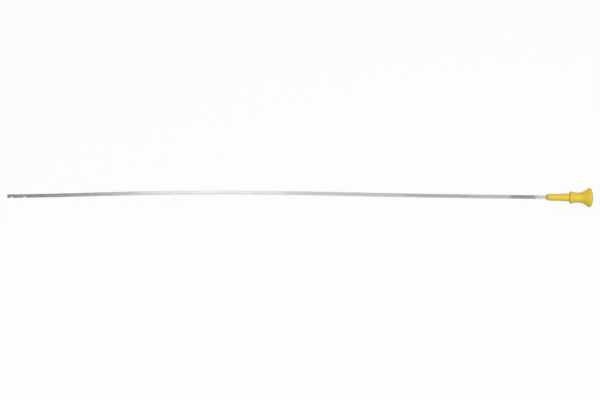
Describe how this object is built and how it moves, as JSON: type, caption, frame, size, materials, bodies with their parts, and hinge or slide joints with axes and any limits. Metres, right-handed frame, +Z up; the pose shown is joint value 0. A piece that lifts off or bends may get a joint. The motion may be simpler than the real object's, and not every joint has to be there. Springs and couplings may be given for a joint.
{
  "type": "engine oil dipstick",
  "caption": "Long flat steel oil dipstick, slightly bowed, with level notches near the tip and a yellow trumpet-shaped plastic handle with a stop collar.",
  "frame": {"origin": "on the floor that the tip and the handle's rim touch, halfway along the whole length, below the handle's axis", "axes": "+X along the handle's axis from the strip's tip towards the domed end, +Z up from the floor, level notches in the strip's -Y edge"},
  "size_m": [0.7034, 0.023, 0.023],
  "materials": {
    "strip_steel": "rolled",
    "handle_plastic": "satin"
  },
  "bodies": {
    "root": {"blade": "strip_steel", "handle": "handle_plastic"}
  },
  "joints": []
}
